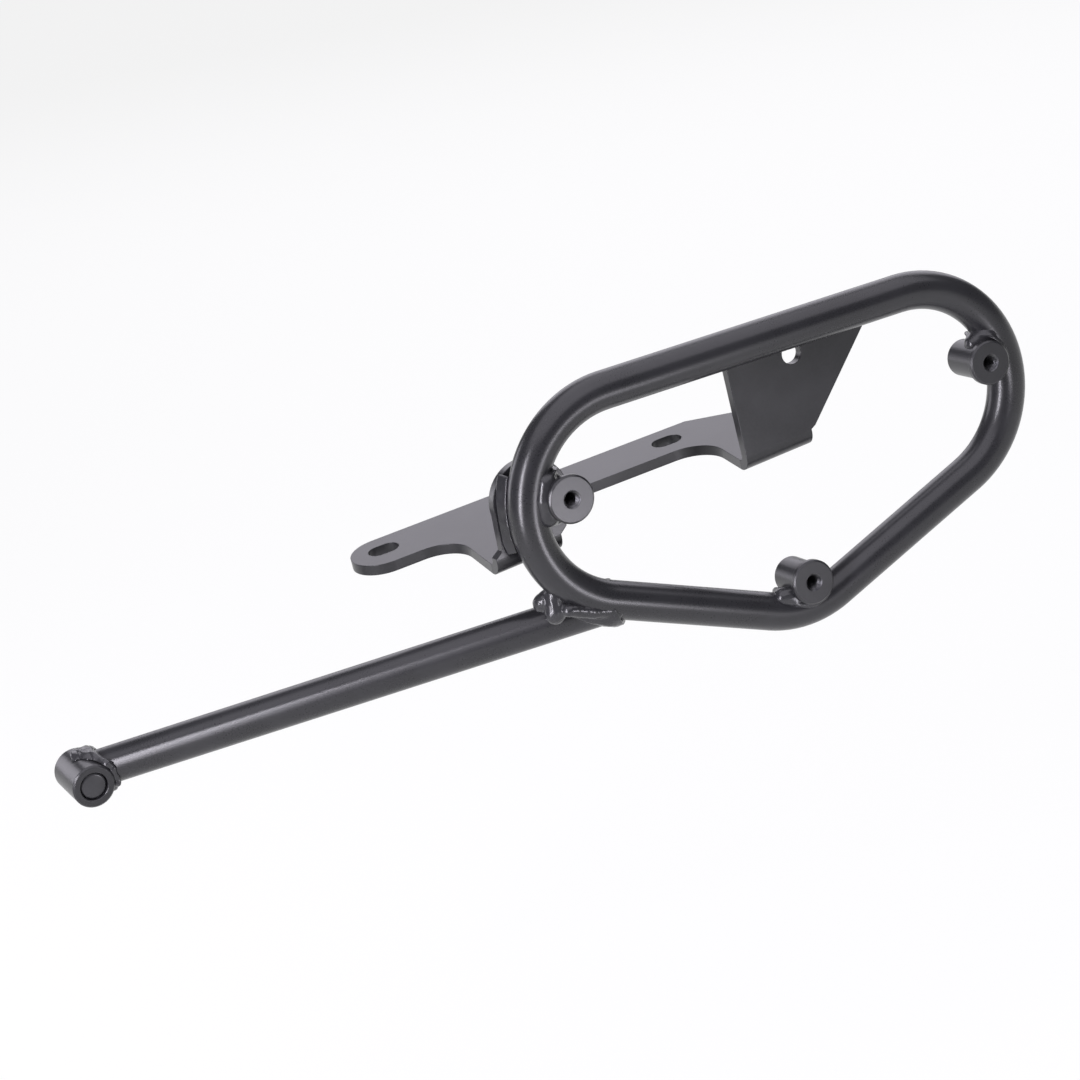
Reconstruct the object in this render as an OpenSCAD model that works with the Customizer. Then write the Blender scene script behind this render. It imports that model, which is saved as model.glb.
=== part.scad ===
// Side carrier frame for one hard or soft pannier on a motorbike.
// A closed hoop of bent tube stands outboard of a folded bracket plate, three threaded bosses
// inside the hoop take the pannier, and a strut runs forward to a sleeve on the footrest hanger.
// X points to the back of the bike, Y inboard, Z up. The origin is midway between the two
// slots, on the top face of the plate.

/* [Hoop] */
// Outside diameter of the hoop tube
tube_d = 18; // [17:0.5:20]
// Wall thickness of the hoop tube and the strut
tube_wall = 2; // [1.5:0.25:3]
// Centreline radius of the three hoop bends
bend_r = 49; // [47:0.5:52]
// Distance from the front bend centre to the rear one, along the hoop
hoop_run = 155.6; // [150:0.5:165]
// Drop of the rear bend centre below the front one
hoop_drop = 10.2; // [6:0.2:13]
// Distance from the front bend centre to the lowest one, along the hoop
low_bend_x = 74.5; // [70:0.5:80]
// Drop of the lowest bend centre below the front one
low_bend_drop = 36.1; // [33:0.5:40]
// Turn of the hoop in plan, rear end inboard
hoop_yaw = 3.5; // [2:0.5:5]
// Lean of the hoop, top inboard
hoop_lean = 7; // [5:0.5:9]

/* [Bosses] */
// Diameter of the front boss
front_boss_d = 22.5; // [21:0.5:24]
// Diameter of the rear and the lower boss
boss_d = 21; // [20:0.5:22]
// Diameter of a boss behind its head
barrel_d = 17.6; // [16:0.2:18.4]
// Thickness of a boss head
head_t = 3.2; // [2:0.2:3.6]
// How far a boss face stands outboard of the hoop's middle plane
boss_face = 14; // [13.8:0.2:16]
// Distance between the tube's axis and the front boss's axis
front_boss_off = 15.9; // [15:0.1:16.8]
// Distance between the tube's axis and the axis of the rear and the lower boss
boss_off = 14.2; // [13.5:0.1:15.5]
// How far the rear boss reaches inboard of the hoop's middle plane
rear_boss_back = 11.5; // [9:0.5:13]
// How far the lower boss reaches inboard of the hoop's middle plane
lower_boss_back = 9.2; // [9:0.2:13]
// Depth of the threaded holes
thread_depth = 18; // [12:1:19]
// Core diameter of the threaded holes
thread_core_d = 6.8; // [5:0.1:8.5]
// Diameter of the countersunk mouth of a threaded hole
thread_mouth_d = 8.4; // [8:0.1:9]
// Chamfer round the face of a boss
boss_chamfer = 0.8; // [0.3:0.1:1.5]
// Chamfer round the inboard end of a boss
boss_end_chamfer = 1; // [0.5:0.1:2]

/* [Bracket plate] */
// Thickness of the folded plate
plate_t = 5; // [4:0.5:6]
// Inside radius of the two folds
fold_r = 3; // [2:0.5:4]
// Distance between the middles of the two slots
slot_pitch = 148.7; // [144:0.1:152]
// Width of a slot
slot_w = 10.8; // [8:0.1:11.5]
// Length of a slot, end to end
slot_len = 15; // [13:0.5:18]
// Distance from the slot line to the inboard edge of the plate
plate_in = 14.4; // [12:0.5:16]
// Distance from the slot line to the outboard edge of the plate
plate_out = 14.8; // [13:0.5:16]
// Radius of the rounded front end of the plate
tongue_r = 15.6; // [15:0.2:16.4]
// Radius of the inside corners beside the two legs
leg_fillet_r = 17; // [10:0.5:18]
// Radius of the round top of the front flange
ear_r = 19; // [18:0.5:20]
// Diameter of the hole in the rear flange
gusset_hole_d = 10; // [6:0.5:12]

/* [Strut] */
// Outside diameter of the strut
strut_d = 17.8; // [16:0.2:17.8]
// Distance of the strut joint from the end of the front bend, along the hoop
joint_back = 5; // [2:0.2:6]
// Distance of the sleeve forward of the slots' midpoint
eye_forward = 233.4; // [220:0.2:240]
// Distance of the sleeve inboard of the slot line
eye_inboard = 32.6; // [25:0.2:36]
// Distance of the sleeve below the top of the plate
eye_down = 68.2; // [60:0.2:72]

/* [Sleeve] */
// Outside diameter of the sleeve
eye_d = 20.8; // [20:0.2:24]
// Length of the sleeve
eye_len = 27; // [24:0.5:32]
// Distance from the sleeve's middle to the strut's axis, inboard
eye_strut_off = 4.9; // [2:0.1:6]
// Bore of the sleeve
eye_bore_d = 13.5; // [12:0.1:14.5]
// Diameter of the insert's closed nose
nose_d = 11.8; // [10:0.1:11.8]
// How far the nose lies behind the sleeve's outboard face
nose_recess = 1.2; // [0.5:0.1:2.5]
// Length of the nose
nose_len = 3; // [2:0.2:5]

/* [Welds] */
// Leg of the weld round each boss
weld_leg = 2.4; // [1.5:0.1:3]
// Leg of the weld at the sleeve
eye_weld_leg = 3.2; // [2:0.1:4]
// Leg of the strut joint's weld on the hoop
joint_leg_hoop = 3.4; // [3:0.1:4]
// Leg of the strut joint's weld on the strut
joint_leg_strut = 2.4; // [2:0.1:2.7]
// How far short of the hoop's axis the strut is cut off
strut_cut = 4.5; // [2:0.5:6]
// Leg of the heavier bead in the acute corner of the strut joint
corner_leg = 6.5; // [5:0.5:7.5]
// Reach of the flange welds over the plate, from the middle of the tube
flange_weld_reach = 11.5; // [10.5:0.1:13]

/* [Hidden] */

steel = "#3b3c41";
bead = "#47484d";

tube_fn = 28;
bore_fn = 16;
bend_fn = 60;
round_fn = 48;
joint_fn = 64;

// Front bend centre, in the frame of the whole part
hoop_at = [22.5, -70.9, 14.1];
// Front, rear and lowest bend centres, in the hoop's own plane
bend_at = [[0, 0], [hoop_run, -hoop_drop], [low_bend_x, -low_bend_drop]];
// Bearing of each boss from the centre of its bend
boss_bearing = [160.4, 7.4, -93.1];
// The straights are drawn this much slimmer than the bends, and run a little way into them
slim = 0.02;
run_in = 0.5;
// Both flanges lie against the inboard side of the hoop
flange_y = tube_d / 2;

function unit(v) = v / norm(v);
function bearing(v) = atan2(v[1], v[0]);
function turned(v, a) = [v[0] * cos(a) - v[1] * sin(a), v[0] * sin(a) + v[1] * cos(a)];
function after(i) = (i + 1) % 3;
function before(i) = (i + 2) % 3;
function run_dir(i) = unit(bend_at[after(i)] - bend_at[i]);
function run_out(i) = turned(run_dir(i), 90);
function run_len(i) = norm(bend_at[after(i)] - bend_at[i]);
function bend_from(i) = bearing(run_out(i));
// Point inside bend i, at distance off from the tube's axis
function beside_bend(i, off) =
    bend_at[i] + (bend_r - off) * [cos(boss_bearing[i]), sin(boss_bearing[i])];
function bend_turn(i) = (bearing(run_out(before(i))) - bend_from(i) + 720) % 360;

// A point of the hoop's frame, given in the frame of the whole part
function placed(p) =
    let (y = p[1] * cos(hoop_lean) + p[2] * sin(hoop_lean),
         z = p[2] * cos(hoop_lean) - p[1] * sin(hoop_lean),
         q = turned([p[0], y], hoop_yaw))
    [q[0], q[1], z] + hoop_at;

module in_hoop() {
    translate(hoop_at) rotate([0, 0, hoop_yaw]) rotate([-hoop_lean, 0, 0]) children();
}

// Sweeps a flat section round bend i, in the hoop's frame. The section's x points out of the
// loop and its y points outboard.
module round_bend(i, from, turn) {
    translate([bend_at[i][0], 0, bend_at[i][1]]) rotate([90, 0, 0]) rotate([0, 0, from])
        rotate_extrude(angle = turn, $fn = bend_fn) translate([bend_r, 0]) children();
}

// Sweeps a flat section along the straight that follows bend i
module along_run(i, from, len) {
    translate([bend_at[i][0], 0, bend_at[i][1]]) rotate([90, 0, 0])
        rotate([0, 0, bend_from(i)]) translate([bend_r, -from, 0]) rotate([90, 0, 0])
            linear_extrude(len) children();
}

module bend_bar(i, d, fn = tube_fn) {
    round_bend(i, bend_from(i), bend_turn(i)) circle(d = d, $fn = fn);
}

module tube_section(slim) {
    difference() {
        circle(d = tube_d - 2 * slim, $fn = tube_fn);
        circle(d = tube_d - 2 * tube_wall + 2 * slim, $fn = bore_fn);
    }
}

// Strut
joint = bend_at[0] + bend_r * run_out(2) - joint_back * run_dir(2);
joint_at = placed([joint[0], 0, joint[1]]);
eye_mid = [-eye_forward, eye_inboard, -eye_down];
eye_axis = [-sin(hoop_yaw), cos(hoop_yaw), 0];
strut_from = eye_mid + eye_strut_off * eye_axis;
strut_vec = joint_at - strut_from;
strut_len = norm(strut_vec);
vent_d = 5;
// Acute corner between the strut and the front bend, where a heavier bead fills the gap
corner_at = placed([-46, 9.5, -36.5]);

// Draws along the strut: z runs from the sleeve's axis to the joint
module along_strut() {
    translate(strut_from)
        rotate([0, acos(strut_vec[2] / strut_len), atan2(strut_vec[1], strut_vec[0])]) children();
}

// The hoop's solid outline where the strut meets it
module joint_bar(d) {
    in_hoop() {
        bend_bar(0, d, joint_fn);
        along_run(2, 0, run_len(2) + run_in) circle(d = d - 2 * slim, $fn = joint_fn);
    }
}

module in_eye() {
    translate(eye_mid) rotate([0, 0, hoop_yaw]) rotate([-90, 0, 0])
        translate([0, 0, -eye_len / 2]) children();
}

module hoop_tube() {
    color(steel) difference() {
        in_hoop() for (i = [0 : 2]) {
            round_bend(i, bend_from(i), bend_turn(i)) tube_section(0);
            along_run(i, -run_in, run_len(i) + 2 * run_in) tube_section(slim);
        }
        along_strut() translate([0, 0, strut_len - tube_d]) cylinder(h = tube_d, d = vent_d, $fn = 24);
    }
}

module strut_tube() {
    color(steel) difference() {
        along_strut() cylinder(h = strut_len - strut_cut, d = strut_d, $fn = joint_fn);
        along_strut() translate([0, 0, -1])
            cylinder(h = strut_len + 2, d = strut_d - 2 * tube_wall, $fn = 32);
        joint_bar(tube_d);
        in_eye() translate([0, 0, -1]) cylinder(h = eye_len + 12, d = eye_d, $fn = round_fn);
    }
}

// Bosses
module boss_bar(at, d, from, len) {
    translate([at[0], from, at[1]]) rotate([-90, 0, 0]) cylinder(h = len, d = d, $fn = round_fn);
}

// A headed boss: a turned head over a slimmer barrel that is coped onto the tube
module boss(i, at, d, back) {
    len = boss_face + back;
    color(steel) in_hoop() difference() {
        translate([at[0], -boss_face, at[1]]) rotate([-90, 0, 0]) difference() {
            rotate_extrude($fn = round_fn) polygon([
                [0, 0], [d / 2 - boss_chamfer, 0], [d / 2, boss_chamfer], [d / 2, head_t],
                [barrel_d / 2, head_t], [barrel_d / 2, len - boss_end_chamfer],
                [barrel_d / 2 - boss_end_chamfer, len], [0, len]]);
            translate([0, 0, -1]) cylinder(h = thread_depth + 1, d = thread_core_d, $fn = 24);
            translate([0, 0, -0.01]) cylinder(h = (thread_mouth_d - thread_core_d) / 2 + 0.01,
                d1 = thread_mouth_d + 0.02, d2 = thread_core_d, $fn = 24);
        }
        bend_bar(i, tube_d);
    }
}

front_boss_at = beside_bend(0, front_boss_off);
rear_boss_at = beside_bend(1, boss_off);
lower_boss_at = beside_bend(2, boss_off);

module front_boss() { boss(0, front_boss_at, front_boss_d, flange_y); }
module rear_boss() { boss(1, rear_boss_at, boss_d, rear_boss_back); }
module lower_boss() { boss(2, lower_boss_at, boss_d, lower_boss_back); }

// Bracket plate: a flat arm with two legs folded up into flanges
fold_turn = 90 + hoop_lean;
// Fold axis, seen along the fold: inboard of and above the front bend centre
fold_up = fold_r - hoop_at[2];
fold_in = (flange_y + plate_t + fold_r + fold_up * sin(hoop_lean)) / cos(hoop_lean);
// Lower end of the flanges in the hoop's own plane
flange_z = fold_in * sin(hoop_lean) + fold_up * cos(hoop_lean);
// Ends of the two folds, along the hoop
ear_fold = [-65.6, -32];
gusset_fold = [67, 102.8];

// Plan position of a point on the line where a leg meets its fold
function fold_point(x) = turned([x, fold_in], hoop_yaw) + [hoop_at[0], hoop_at[1]];

// Corner filler with a concave round of radius r. sx and sy point from the corner to the round.
module corner_fill(at, sx, sy, r) {
    translate(at) difference() {
        translate([sx > 0 ? -1 : -r, sy > 0 ? -1 : -r]) square(r + 1);
        translate([sx * r, sy * r]) circle(r = r, $fn = 64);
    }
}

ear_x = [fold_point(ear_fold[0])[0], fold_point(ear_fold[1])[0]];
gusset_x = [fold_point(gusset_fold[0])[0], fold_point(gusset_fold[1])[0]];
tongue_at = [-slot_pitch / 2 - 0.7, plate_in - tongue_r];
tongue_low = tongue_at[1] - tongue_r;

module slot(x) {
    for (s = [-1, 1]) translate([x + s * (slot_len - slot_w) / 2, 0]) circle(d = slot_w, $fn = 48);
    translate([x - (slot_len - slot_w) / 2, -slot_w / 2]) square([slot_len - slot_w, slot_w]);
}

module plate_outline() {
    difference() {
        union() {
            translate(tongue_at) circle(r = tongue_r, $fn = 64);
            polygon([[tongue_at[0], tongue_low], [ear_x[0] + 1, tongue_low],
                [ear_x[0] + 1, plate_in], [tongue_at[0], plate_in]]);
            polygon([[ear_x[0], -plate_out], [gusset_x[1], -plate_out], [gusset_x[1], -2],
                [91, plate_in], [ear_x[0], plate_in]]);
            polygon([fold_point(ear_fold[0]), fold_point(ear_fold[1]),
                [ear_x[1], -plate_out + 1], [ear_x[0], -plate_out + 1]]);
            polygon([fold_point(gusset_fold[0]), fold_point(gusset_fold[1]),
                [gusset_x[1], -plate_out + 1], [gusset_x[0], -plate_out + 1]]);
            corner_fill([ear_x[0], tongue_low], -1, -1, leg_fillet_r);
            corner_fill([ear_x[1], -plate_out], 1, -1, leg_fillet_r);
            corner_fill([gusset_x[0], -plate_out], -1, -1, leg_fillet_r);
        }
        for (s = [-1, 1]) slot(s * slot_pitch / 2);
    }
}

module fold(ends) {
    translate(hoop_at) rotate([0, 0, hoop_yaw]) translate([0, fold_in, fold_up])
        rotate([0, 90, 0]) rotate([0, 0, -fold_turn - 0.3])
            rotate_extrude(angle = fold_turn + 0.6, $fn = 64)
                translate([fold_r + slim, ends[0] + slim])
                    square([plate_t - 2 * slim, ends[1] - ends[0] - 2 * slim]);
}

ear_at = [-41, 11.3];

module ear_outline() {
    translate(ear_at) circle(r = ear_r, $fn = 64);
    polygon([[ear_fold[0], flange_z], [ear_fold[1], flange_z], [-28.4, flange_z + 2.7],
        [ear_at[0] + ear_r - 0.1, ear_at[1]], [ear_at[0] - ear_r + 0.1, ear_at[1]],
        [-61.5, flange_z + 3.1], [ear_fold[0], flange_z + 0.5]]);
}

// Height of the hoop's upper centreline above its front bend centre
function top_line(x) = (bend_r + x * run_dir(0)[1]) / run_dir(0)[0];

gusset_hole_at = [102.8, 28.6];
// The gusset runs back to the end of the hoop's upper straight
gusset_rear = hoop_run - 3.6;

module gusset_outline() {
    difference() {
        polygon([[gusset_fold[0], flange_z], [gusset_fold[1], flange_z],
            [105.3, flange_z + 1.3], [gusset_rear, top_line(gusset_rear) - 1], [gusset_fold[0] + 2.4, top_line(gusset_fold[0] + 2.4) - 1]]);
        translate(gusset_hole_at) circle(d = gusset_hole_d, $fn = 32);
    }
}

module flange() {
    in_hoop() translate([0, flange_y + plate_t, 0]) rotate([90, 0, 0])
        linear_extrude(plate_t) children();
}

module mount_plate() {
    color(steel) union() {
        translate([0, 0, -plate_t]) linear_extrude(plate_t) plate_outline();
        fold(ear_fold);
        fold(gusset_fold);
        flange() ear_outline();
        flange() gusset_outline();
    }
}

// Sleeve at the strut's front end, with its pressed-in threaded insert
module eye_sleeve() {
    color(steel) in_eye() rotate_extrude($fn = round_fn) polygon([
        [eye_bore_d / 2 + 0.4, 0], [eye_d / 2 - 0.8, 0], [eye_d / 2, 0.8],
        [eye_d / 2, eye_len - 0.8], [eye_d / 2 - 0.8, eye_len],
        [eye_bore_d / 2, eye_len], [eye_bore_d / 2, 0.4]]);
}

module eye_insert() {
    nose_from = nose_recess + nose_len;
    color(steel) in_eye() difference() {
        union() {
            translate([0, 0, nose_from])
                cylinder(h = eye_len - nose_from, d = eye_bore_d, $fn = round_fn);
            rotate_extrude($fn = round_fn) polygon([
                [0, nose_recess], [nose_d / 2 - 0.8, nose_recess],
                [nose_d / 2, nose_recess + 0.8], [nose_d / 2, nose_from], [0, nose_from]]);
        }
        translate([0, 0, eye_len - thread_depth])
            cylinder(h = thread_depth + 1, d = thread_core_d, $fn = 24);
        translate([0, 0, eye_len - 0.8])
            cylinder(h = 0.81, d1 = thread_core_d, d2 = thread_mouth_d, $fn = 24);
    }
}

// Weld in the groove between a barrel and the tube, under the boss's head: both outlines grown,
// less the parts themselves
module boss_weld(i, at, d) {
    from = head_t + 0.2 - boss_face;
    color(bead) in_hoop() difference() {
        intersection() {
            bend_bar(i, tube_d + 2 * weld_leg);
            boss_bar(at, d + 2 * weld_leg, from, tube_d / 2 - from);
        }
        bend_bar(i, tube_d);
        boss_bar(at, barrel_d, -boss_face, 2 * boss_face);
    }
}

module weld_front_boss() { boss_weld(0, front_boss_at, front_boss_d); }
module weld_rear_boss() { boss_weld(1, rear_boss_at, boss_d); }
module weld_lower_boss() { boss_weld(2, lower_boss_at, boss_d); }

module weld_strut() {
    color(bead) difference() {
        union() {
            intersection() {
                joint_bar(tube_d + 2 * joint_leg_hoop);
                along_strut() translate([0, 0, strut_len - 40])
                    cylinder(h = 43 - strut_cut, d = strut_d + 2 * joint_leg_strut, $fn = joint_fn);
            }
            intersection() {
                joint_bar(tube_d + 2 * corner_leg);
                along_strut() translate([0, 0, strut_len - 50])
                    cylinder(h = 45, d = strut_d + 2 * corner_leg, $fn = joint_fn);
                translate(corner_at) sphere(r = 10, $fn = 32);
            }
        }
        joint_bar(tube_d);
        along_strut() translate([0, 0, strut_len - 60])
            cylinder(h = 60 - strut_cut, d = strut_d, $fn = joint_fn);
    }
}

module weld_eye() {
    color(bead) difference() {
        intersection() {
            in_eye() translate([0, 0, 0.8])
                cylinder(h = eye_len - 1.6, d = eye_d + 2 * eye_weld_leg, $fn = round_fn);
            along_strut() cylinder(h = 40, d = strut_d + 2 * eye_weld_leg, $fn = 32);
        }
        in_eye() translate([0, 0, -1]) cylinder(h = eye_len + 2, d = eye_d, $fn = round_fn);
        along_strut() cylinder(h = 60, d = strut_d, $fn = tube_fn);
    }
}

// Section of a weld between the tube and a flange, on the side that s names
module flange_weld_section(s) {
    difference() {
        polygon([[s * 4, -flange_y], [s * flange_weld_reach, -flange_y],
            [s * flange_weld_reach, -flange_y + 0.6], [s * tube_d * 0.46, -tube_d * 0.16],
            [s * 4, -tube_d * 0.3]]);
        circle(d = tube_d, $fn = tube_fn);
    }
}

module weld_ear_outer() {
    color(bead) in_hoop() round_bend(0, 152, 36) flange_weld_section(1);
}

module weld_ear_inner() {
    color(bead) in_hoop() round_bend(0, 182, 12) flange_weld_section(-1);
}

// The gusset's weld is left out over the hole
gusset_weld_gap = [gusset_hole_at[0] - 8.8, gusset_hole_at[0] + 3.2];

module weld_gusset_front() {
    from = gusset_fold[0] + 1;
    color(bead) in_hoop() along_run(0, from, gusset_weld_gap[0] - from) flange_weld_section(-1);
}

module weld_gusset_rear() {
    from = gusset_weld_gap[1];
    color(bead) in_hoop() along_run(0, from, gusset_rear - 10 - from) flange_weld_section(-1);
}

hoop_tube();
strut_tube();
mount_plate();
front_boss();
rear_boss();
lower_boss();
eye_sleeve();
eye_insert();
weld_front_boss();
weld_rear_boss();
weld_lower_boss();
weld_strut();
weld_eye();
weld_ear_outer();
weld_ear_inner();
weld_gusset_front();
weld_gusset_rear();
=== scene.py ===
import math
import bmesh
import bpy
from mathutils import Matrix, Vector, noise


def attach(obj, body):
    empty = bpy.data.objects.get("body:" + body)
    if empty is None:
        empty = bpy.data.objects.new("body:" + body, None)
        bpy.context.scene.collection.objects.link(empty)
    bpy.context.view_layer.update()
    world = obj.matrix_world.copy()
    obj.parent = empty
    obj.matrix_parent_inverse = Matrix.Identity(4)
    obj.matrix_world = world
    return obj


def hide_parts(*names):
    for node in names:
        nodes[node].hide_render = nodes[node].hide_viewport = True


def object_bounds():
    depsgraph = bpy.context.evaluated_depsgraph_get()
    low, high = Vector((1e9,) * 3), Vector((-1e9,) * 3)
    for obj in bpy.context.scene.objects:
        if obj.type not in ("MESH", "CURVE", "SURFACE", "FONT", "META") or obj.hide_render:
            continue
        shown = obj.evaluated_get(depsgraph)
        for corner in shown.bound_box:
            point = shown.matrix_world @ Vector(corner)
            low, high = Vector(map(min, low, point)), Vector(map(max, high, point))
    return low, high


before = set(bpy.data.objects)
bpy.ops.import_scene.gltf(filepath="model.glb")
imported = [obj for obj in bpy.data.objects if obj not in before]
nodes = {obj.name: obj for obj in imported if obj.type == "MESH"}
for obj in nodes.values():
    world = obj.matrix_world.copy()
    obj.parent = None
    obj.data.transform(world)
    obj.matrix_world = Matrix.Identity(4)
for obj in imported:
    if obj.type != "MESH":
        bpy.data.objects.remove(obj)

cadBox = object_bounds()
mm = 0.001

# places that the looks need, as in the part's source, in millimetres and degrees
hoop = {"at": (22.5, -70.9, 14.1), "yaw": 3.5, "lean": 7.0, "bendR": 49.0,
        "bends": ((0.0, 0.0), (155.6, -10.2), (74.5, -36.1))}
bosses = {"front": (0, 15.9, 160.4), "rear": (1, 14.2, 7.4), "lower": (2, 14.2, -93.1)}  # bend, offset, bearing
bossFace = 14.0  # outboard of the hoop's plane
sleeve = {"at": (-233.4, 32.6, -68.2), "length": 27.0}

# the hoop's own axes: along it, inboard and up
hoopPlace = (Matrix.Translation(Vector(hoop["at"]) * mm)
             @ (Matrix.Rotation(math.radians(hoop["yaw"]), 4, "Z")
                @ Matrix.Rotation(math.radians(-hoop["lean"]), 4, "X")))
sleevePlace = (Matrix.Translation(Vector(sleeve["at"]) * mm)
               @ Matrix.Rotation(math.radians(hoop["yaw"]), 4, "Z"))


def bossCentre(name):
    bend, offset, bearing = bosses[name]
    angle, radius = math.radians(bearing), hoop["bendR"] - offset
    cx, cz = hoop["bends"][bend]
    return Vector((cx + radius * math.cos(angle), 0, cz + radius * math.sin(angle))) * mm


# shader sums: a socket that Python's operators work on
class Sock:
    def __init__(self, shader, socket):
        self.shader, self.socket = shader, socket

    def maths(self, operation, first, second):
        return self.shader.add("ShaderNodeMath", {"operation": operation}, {0: first, 1: second})

    def __add__(self, other): return self.maths("ADD", self, other)
    def __radd__(self, other): return self.maths("ADD", other, self)
    def __mul__(self, other): return self.maths("MULTIPLY", self, other)
    def __rmul__(self, other): return self.maths("MULTIPLY", other, self)
    def __sub__(self, other): return self.maths("SUBTRACT", self, other)
    def __rsub__(self, other): return self.maths("SUBTRACT", other, self)

    def between(self, low, high):  # 0 below low, 1 above high
        return self.shader.add("ShaderNodeMapRange", {"interpolation_type": "SMOOTHSTEP"},
                               {"Value": self, "From Min": low, "From Max": high})


class Shader:
    def __init__(self, name):
        self.material = bpy.data.materials.new(name)
        self.material.use_nodes = True
        self.tree = self.material.node_tree
        self.surface = self.tree.nodes["Principled BSDF"]

    def add(self, kind, settings=None, sockets=None, out=0):
        node = self.tree.nodes.new(kind)
        for key, value in (settings or {}).items():
            setattr(node, key, value)
        self.feed(node, sockets or {})
        return Sock(self, node.outputs[out])

    def feed(self, node, sockets):
        for key, value in sockets.items():
            if isinstance(value, Sock):
                self.tree.links.new(value.socket, node.inputs[key])
            else:
                node.inputs[key].default_value = value

    def noise(self, scale, detail=2.0, rough=0.5):
        place = self.add("ShaderNodeTexCoord", out="Object")
        return self.add("ShaderNodeTexNoise", {}, {
            "Vector": place, "Scale": scale, "Detail": detail, "Roughness": rough})

    def blend(self, amount, first, second):
        return self.add("ShaderNodeMix", {"data_type": "RGBA"}, {0: amount, 6: first, 7: second}, out=2)


# powder coat: satin anthracite with a fine peel; the lighter edge colour is a painted highlight along edges
coat = {"dark": (0.0165, 0.0165, 0.0185, 1), "light": (0.023, 0.023, 0.0255, 1),
        "edge": (0.060, 0.060, 0.064, 1), "rough": 0.28, "cloudScale": 38.0,
        "peelScale": 900.0, "peelDeep": 0.00003, "peelStrength": 0.3, "peelShare": 0.30,
        "edgeRound": 0.0005, "paintedGlintScale": 260.0, "paintedGlintShare": 0.6}


def powderCoat(name, values):
    s = Shader(name)
    cloud = s.noise(values["cloudScale"], 3.0)
    grain = s.noise(values["peelScale"], 2.0, 0.55)
    fine = s.noise(values["peelScale"] * 3.1, 1.0)
    flat = rounded = s.add("ShaderNodeNewGeometry", out="Normal")
    if values["edgeRound"]:
        rounded = s.add("ShaderNodeBevel", {"samples": 8}, {"Radius": values["edgeRound"]})
    same = s.add("ShaderNodeVectorMath", {"operation": "DOT_PRODUCT"}, {0: rounded, 1: flat}, out="Value")
    edge = (1 - same).between(0.02, 0.22)
    # painted highlight: a lighter colour in patches along the edges, standing in for bright rims where edges
    # catch the light; the same mask makes the edges a little smoother
    paintedGlint = edge * s.noise(values["paintedGlintScale"], 3.0).between(0.42, 0.68)
    body = s.blend(cloud.between(0.32, 0.68), values["dark"], values["light"])
    body = s.blend(grain.between(0.30, 0.75) * values["peelShare"], body, values["light"])
    colour = s.blend(paintedGlint * values["paintedGlintShare"], body, values["edge"])
    bump = s.add("ShaderNodeBump", {}, {
        "Strength": values["peelStrength"], "Distance": values["peelDeep"],
        "Height": grain * 0.75 + fine * 0.25, "Normal": rounded})
    rough = cloud * 0.04 + grain * 0.04 + (values["rough"] - 0.04) - paintedGlint * 0.05
    s.feed(s.surface, {"Base Color": colour, "Roughness": rough, "Normal": bump,
                       "Specular IOR Level": 0.5, "IOR": 1.5})
    return s.material


print("materials")
tubeCoat = powderCoat("tubeCoat", {**coat, "edgeRound": 0.0})  # a tube shows no edge
# the plate's darker dark tone is painted shade: plate and tubes carry the same coat
plateCoat = powderCoat("plateCoat", {**coat, "rough": 0.31, "dark": (0.012, 0.012, 0.014, 1)})
turnedCoat = powderCoat("turnedCoat", {**coat, "rough": 0.30, "edgeRound": 0.0004})
# the beads and the sleeve's plug get a lighter light tone, a painted highlight: they carry the same coat as the
# tubes
beadCoat = powderCoat("beadCoat", {**coat, "rough": 0.24, "edgeRound": 0.0007,
                                   "light": (0.034, 0.034, 0.037, 1)})

finishes = {"hoop_tube": tubeCoat, "strut_tube": tubeCoat, "mount_plate": plateCoat,
            "front_boss": turnedCoat, "rear_boss": turnedCoat, "lower_boss": turnedCoat,
            "eye_sleeve": turnedCoat, "eye_insert": turnedCoat}
for name, material in finishes.items():
    nodes[name].data.materials.clear()
    nodes[name].data.materials.append(material)

# dull steel in the cut threads
steel = {"dark": (0.05, 0.05, 0.055, 1), "light": (0.15, 0.15, 0.155, 1), "rough": 0.38,
         "cloudScale": 400.0, "cutScale": 5200.0, "cutDeep": 0.00002, "cutStrength": 0.3}


def bareSteel(name, values):
    s = Shader(name)
    cloud = s.noise(values["cloudScale"], 3.0)
    cuts = s.noise(values["cutScale"], 2.0)
    colour = s.blend(cloud.between(0.3, 0.7), values["dark"], values["light"])
    bump = s.add("ShaderNodeBump", {}, {
        "Strength": values["cutStrength"], "Distance": values["cutDeep"], "Height": cuts})
    s.feed(s.surface, {"Base Color": colour, "Roughness": cloud * 0.12 + values["rough"],
                       "Normal": bump, "Metallic": 1.0})
    return s.material


threadSteel = bareSteel("threadSteel", steel)


def finishPiece(bm, name, material, place):
    bmesh.ops.remove_doubles(bm, verts=bm.verts, dist=1e-7)
    bmesh.ops.recalc_face_normals(bm, faces=bm.faces)
    bmesh.ops.transform(bm, matrix=place, verts=bm.verts)
    mesh = bpy.data.meshes.new(name)
    bm.to_mesh(mesh)
    bm.free()
    mesh.materials.append(material)
    piece = bpy.data.objects.new(name, mesh)
    bpy.context.scene.collection.objects.link(piece)
    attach(piece, "root")


# threads: a cut mouth and a helical ridge in each tapped hole
thread = {"coreR": 3.4, "mouthR": 4.2, "crestR": 3.08, "deep": 9.5, "film": 0.03,
          "ridge": (0.2, 0.52, 0.68, 1.0), "pitch": 1.25, "turns": 9, "steps": 28, "sides": 48}


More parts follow.
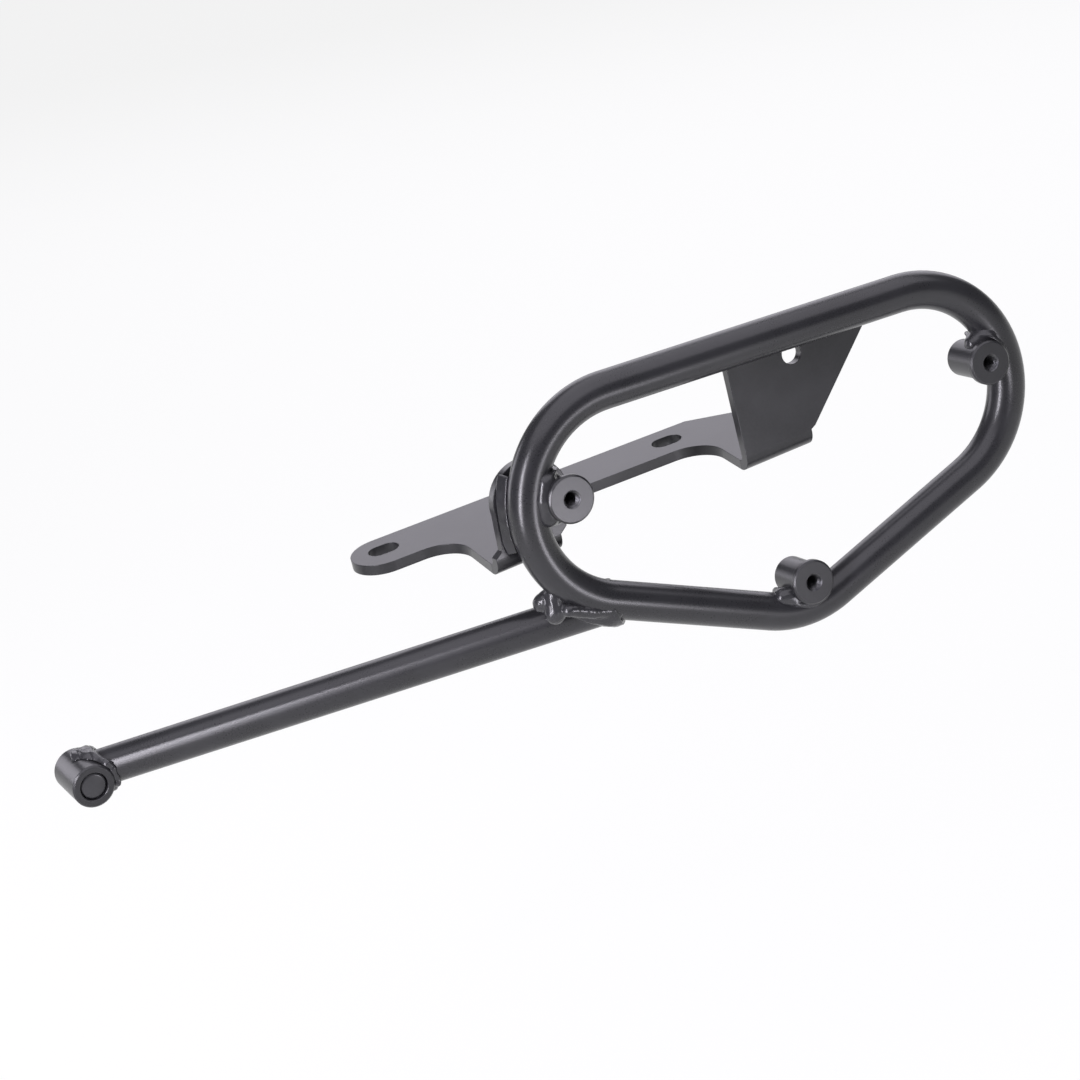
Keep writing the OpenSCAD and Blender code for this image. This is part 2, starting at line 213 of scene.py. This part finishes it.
def threadIn(name, place, values):
    bm = bmesh.new()
    core, mouth, film, deep = values["coreR"], values["mouthR"], values["film"], values["deep"]
    rim = [(mouth, 0.0), (core, mouth - core), (core, deep), (core - film, deep),
           (core - film, mouth - core), (mouth - film, 0.0)]
    ring = [bm.verts.new((r * mm, 0, d * mm)) for r, d in rim]
    edges = [bm.edges.new((ring[i], ring[(i + 1) % len(ring)])) for i in range(len(ring))]
    bmesh.ops.spin(bm, geom=ring + edges, cent=(0, 0, 0), axis=(0, 0, 1), dvec=(0, 0, 0),
                   angle=math.tau, steps=values["sides"], use_merge=True)
    ridge = zip((core, values["crestR"], values["crestR"], core), values["ridge"])
    start = bm.faces.new([bm.verts.new((r * mm, 0, d * mm)) for r, d in ridge])
    bmesh.ops.spin(bm, geom=[start], cent=(0, 0, 0), axis=(0, 0, 1),
                   dvec=(0, 0, values["pitch"] * mm / values["steps"]),
                   angle=math.tau * values["turns"], steps=values["turns"] * values["steps"],
                   use_merge=False)
    finishPiece(bm, name, threadSteel, place)


print("threads")
inboard = Matrix.Rotation(math.radians(-90), 4, "X")  # turns z to point inboard, along a hole
outboard = Matrix.Rotation(math.radians(90), 4, "X")
sleeveHalf = sleeve["length"] / 2 * mm
for name in bosses:
    at = bossCentre(name) + Vector((0, -bossFace * mm, 0))
    threadIn(name + "BossThread", hoopPlace @ Matrix.Translation(at) @ inboard, thread)
threadIn("sleeveThread", sleevePlace @ Matrix.Translation((0, sleeveHalf, 0)) @ outboard, thread)

# the plug's domed face in the sleeve's outer end
plug = {"radius": 6.62, "round": 1.6, "face": 0.95, "dome": 0.85, "deep": 4.0,
        "cornerSteps": 6, "sides": 64}


def plugFace(values):
    bm = bmesh.new()
    edge, corner, face = values["radius"], values["round"], values["face"]
    turn = [math.radians(90 / values["cornerSteps"] * i) for i in range(values["cornerSteps"] + 1)]
    rim = [(0.0, face - values["dome"])]
    rim += [(edge - corner + corner * math.sin(a), face + corner - corner * math.cos(a)) for a in turn]
    rim += [(edge, values["deep"]), (0.0, values["deep"])]
    line = [bm.verts.new((r * mm, 0, d * mm)) for r, d in rim]
    edges = [bm.edges.new(pair) for pair in zip(line, line[1:])]
    bmesh.ops.spin(bm, geom=line + edges, cent=(0, 0, 0), axis=(0, 0, 1), dvec=(0, 0, 0),
                   angle=math.tau, steps=values["sides"], use_merge=True)
    for f in bm.faces:
        f.smooth = True
    finishPiece(bm, "sleevePlug", beadCoat, sleevePlace @ Matrix.Translation((0, -sleeveHalf, 0)) @ inboard)


plugFace(plug)

# weld beads: the plain seams with the ripples and lumps of a hand weld, in millimetres
beads = {"voxel": 0.42, "smooth": 12, "ripple": 0.10, "pitch": 2.4, "wobble": 0.35, "wobbleSize": 3.1,
         "lump": 0.26, "lumpSize": 4.8}
bossBeads = {**beads, "ripple": 0.05, "lump": 0.22, "lumpSize": 6.0, "smooth": 16}
earBeads = {**beads, "ripple": 0.03, "pitch": 6.0, "lump": 0.5, "lumpSize": 6.5}
strutBeads = {**beads, "lump": 0.40, "lumpSize": 5.5}
eyeBeads = {**beads, "lump": 0.55, "lumpSize": 4.0, "ripple": 0.28, "pitch": 3.4}
seamR = {"boss": 11.5, "bend": 47.0, "strut": 10.0}  # radii at which the ripples' pitch is measured

# blobs that stand out of the seams: runs from one ball to the next, each (along, inboard, up, radius)
blobSteps = 8
blobs = {
    "weld_front_boss": [((-33.5, -3, 18.5, 4.8), (-38.0, -5, 18.5, 4.6)),
                        ((-36.0, -3, 4.0, 4.6), (-40.5, -4, 4.5, 4.4)),
                        ((-38.0, -6.4, 20.5, 5.2), (-41.0, -6.8, 13.5, 5.6)),
                        ((-41.0, -6.8, 13.5, 5.6), (-41.5, -6.4, 6.0, 5.2))],
    "weld_rear_boss": [((190.5, -2.5, 2.6, 5.0), (198.5, -2.5, 5.2, 6.4))],
    "weld_lower_boss": [((60.0, -4, -75.0, 4.8), (65.0, -5, -76.5, 5.4))],
    "weld_strut": [((-46.5, 1, -31.5, 4.8), (-48.5, 1, -40.0, 5.4)),
                   ((-47.0, 3, -33.0, 5.0), (-52.0, 5, -34.5, 4.4)),
                   ((-44.0, -4.5, -39.5, 3.4), (-33.0, -5.0, -44.5, 3.4)),
                   ((-33.0, -5.0, -44.5, 3.4), (-21.5, -4.5, -48.8, 3.4)),
                   ((-26.0, 1, -51.6, 4.2), (-21.5, 1, -53.4, 4.4))]}


def around(place, radius):  # way along a seam that runs round a piece
    turn = place.inverted()

    def along(p):
        q = turn @ p
        return math.atan2(q.z, q.x) * radius
    return along


def alongHoop(p):
    return (hoopPlace.inverted() @ p).x / mm


def roughSeam(node, values):  # the plain seam and its blobs as one closed skin
    source = nodes[node].data.copy()
    bm = bmesh.new()
    bm.from_mesh(source)
    bmesh.ops.remove_doubles(bm, verts=bm.verts, dist=2e-6)
    bmesh.ops.recalc_face_normals(bm, faces=bm.faces)
    for (*start, startR), (*end, endR) in blobs.get(node, []):
        for i in range(blobSteps + 1):
            spot = Matrix.Translation(Vector(start).lerp(Vector(end), i / blobSteps) * mm)
            radius = startR + (endR - startR) * i / blobSteps
            bmesh.ops.create_icosphere(bm, subdivisions=3, radius=radius * mm, matrix=hoopPlace @ spot)
    bm.to_mesh(source)
    bm.free()
    rough = bpy.data.objects.new(node + "Rough", source)
    bpy.context.scene.collection.objects.link(rough)
    remesh = rough.modifiers.new("remesh", "REMESH")
    remesh.mode, remesh.voxel_size = "VOXEL", values["voxel"] * mm
    graph = bpy.context.evaluated_depsgraph_get()
    mesh = bpy.data.meshes.new_from_object(rough.evaluated_get(graph))
    bpy.data.objects.remove(rough)
    return mesh


def weldBead(node, along, values):
    mesh = roughSeam(node, values)
    bm = bmesh.new()
    bm.from_mesh(mesh)
    for i in range(values["smooth"]):
        bmesh.ops.smooth_vert(bm, verts=bm.verts, factor=0.5, use_axis_x=True, use_axis_y=True,
                              use_axis_z=True)
    bm.normal_update()
    shifts = []
    for v in bm.verts:
        wobble = noise.noise(v.co / mm / values["wobbleSize"]) * values["wobble"]
        scallop = abs(math.cos(math.pi * (along(v.co) / values["pitch"] + wobble)))
        lump = noise.noise(v.co / mm / values["lumpSize"] + Vector((7.3, 1.1, 4.9)))
        lift = values["ripple"] * (scallop - 0.35) + values["lump"] * lump
        shifts.append(v.normal * lift * mm)
    for v, shift in zip(bm.verts, shifts):
        v.co += shift
        v.co = [min(max(c, low), high) for c, low, high in zip(v.co, *cadBox)]
    bm.to_mesh(mesh)
    bm.free()
    mesh.name = node + "Bead"
    mesh.materials.clear()
    mesh.materials.append(beadCoat)
    for p in mesh.polygons:
        p.use_smooth = True
    piece = bpy.data.objects.new(node + "Bead", mesh)
    bpy.context.scene.collection.objects.link(piece)
    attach(piece, "root")
    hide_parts(node)
    print("  bead", node, len(mesh.polygons))


print("welds")
for name in bosses:
    seam = around(hoopPlace @ Matrix.Translation(bossCentre(name)), seamR["boss"])
    weldBead("weld_" + name + "_boss", seam, bossBeads)
weldBead("weld_ear_outer", around(hoopPlace, seamR["bend"]), earBeads)
weldBead("weld_ear_inner", around(hoopPlace, seamR["bend"]), beads)
weldBead("weld_gusset_front", alongHoop, beads)
weldBead("weld_gusset_rear", alongHoop, beads)
weldBead("weld_strut", alongHoop, strutBeads)
weldBead("weld_eye", around(sleevePlace, seamR["strut"]), eyeBeads)

# floor: pale paper well below the frame, which hangs over it
print("stage")
ground = {"half": 9.0, "below": 0.26, "white": 0.86, "paper": (0.86, 0.86, 0.87, 1)}


def paleFloor(values):
    mesh = bpy.data.meshes.new("floor")
    bm = bmesh.new()
    bmesh.ops.create_grid(bm, x_segments=1, y_segments=1, size=values["half"])
    bm.to_mesh(mesh)
    bm.free()
    s = Shader("paper")
    s.feed(s.surface, {"Base Color": values["paper"], "Roughness": 0.9, "Specular IOR Level": 0.1})
    rays = s.tree.nodes.new("ShaderNodeLightPath").outputs
    seen = (Sock(s, rays["Is Camera Ray"]) + Sock(s, rays["Is Glossy Ray"])
            + Sock(s, rays["Is Transmission Ray"]))
    white = s.add("ShaderNodeEmission", {}, {"Color": (1, 1, 1, 1), "Strength": 1.0})
    s.feed(s.tree.nodes["Material Output"], {"Surface": s.add("ShaderNodeMixShader", {}, {
        0: seen * values["white"], 1: Sock(s, s.surface.outputs[0]), 2: white})})
    mesh.materials.append(s.material)
    floor = bpy.data.objects.new("floor", mesh)
    floor.location = (0, 0, cadBox[0].z - values["below"])
    bpy.context.scene.collection.objects.link(floor)


paleFloor(ground)

# studio: dim air around the object, white where the camera looks past the floor
air = {"colour": (0.95, 0.97, 1.0, 1), "strength": 0.12}


def studioAir(values):
    world = bpy.data.worlds.new("studio")
    bpy.context.scene.world = world
    world.use_nodes = True
    tree = world.node_tree
    dim = tree.nodes["Background"]
    dim.inputs["Color"].default_value = values["colour"]
    dim.inputs["Strength"].default_value = values["strength"]
    white = tree.nodes.new("ShaderNodeBackground")
    white.inputs["Color"].default_value = (1, 1, 1, 1)
    either = tree.nodes.new("ShaderNodeMixShader")
    rays = tree.nodes.new("ShaderNodeLightPath")
    tree.links.new(rays.outputs["Is Camera Ray"], either.inputs[0])
    tree.links.new(dim.outputs[0], either.inputs[1])
    tree.links.new(white.outputs[0], either.inputs[2])
    tree.links.new(either.outputs[0], tree.nodes["World Output"].inputs["Surface"])


studioAir(air)

lampColour = (0.94, 0.91, 1.0)
lamps = {  # place, target, width, height, watts
    "keyStrip": ((-1.10, -0.67, 0.47), (0.05, -0.07, 0.47), 0.14, 1.06, 18.5),
    "cardRight": ((0.17, -0.56, -0.09), (0.03, -0.06, 0.0), 0.14, 0.12, 0.70),
    "cardBack": ((-0.58, 0.75, 0.17), (-0.233, 0.03, -0.07), 0.34, 0.50, 1.6),
    "overBack": ((0.80, 1.50, 0.75), (0.0, 0.0, 0.0), 2.2, 1.3, 16.7),
    "overhead": ((0.15, -0.25, 1.4), (0.0, 0.0, 0.0), 2.6, 2.2, 28.0)}
for name, (at, target, wide, high, watts) in lamps.items():
    lamp = bpy.data.lights.new(name, "AREA")
    lamp.shape, lamp.size, lamp.size_y, lamp.energy = "RECTANGLE", wide, high, watts
    lamp.color = lampColour
    holder = bpy.data.objects.new(name, lamp)
    holder.location = at
    holder.rotation_euler = (Vector(target) - Vector(at)).to_track_quat("-Z", "Y").to_euler()
    holder.visible_camera = False
    bpy.context.scene.collection.objects.link(holder)

# camera: outboard, in front and above, as in the photo
view = {"at": (-0.48803, -1.48621, 0.64523), "azimuth": -18.21884, "elevation": 23.17813,
        "roll": -13.79369, "lens": 120.0, "sensor": 36.0, "shift": (-0.00046, 0.00046)}
cameraData = bpy.data.cameras.new("camera")
cameraData.lens, cameraData.sensor_width = view["lens"], view["sensor"]
cameraData.shift_x, cameraData.shift_y = view["shift"]
cameraData.clip_start, cameraData.clip_end = 0.05, 20.0
camera = bpy.data.objects.new("camera", cameraData)
camera.matrix_world = (Matrix.Translation(view["at"])
                       @ Matrix.Rotation(math.radians(view["azimuth"]), 4, "Z")
                       @ Matrix.Rotation(math.radians(90 - view["elevation"]), 4, "X")
                       @ Matrix.Rotation(math.radians(view["roll"]), 4, "Z"))
bpy.context.scene.collection.objects.link(camera)
bpy.context.scene.camera = camera
bpy.context.scene.view_settings.view_transform = "Standard"
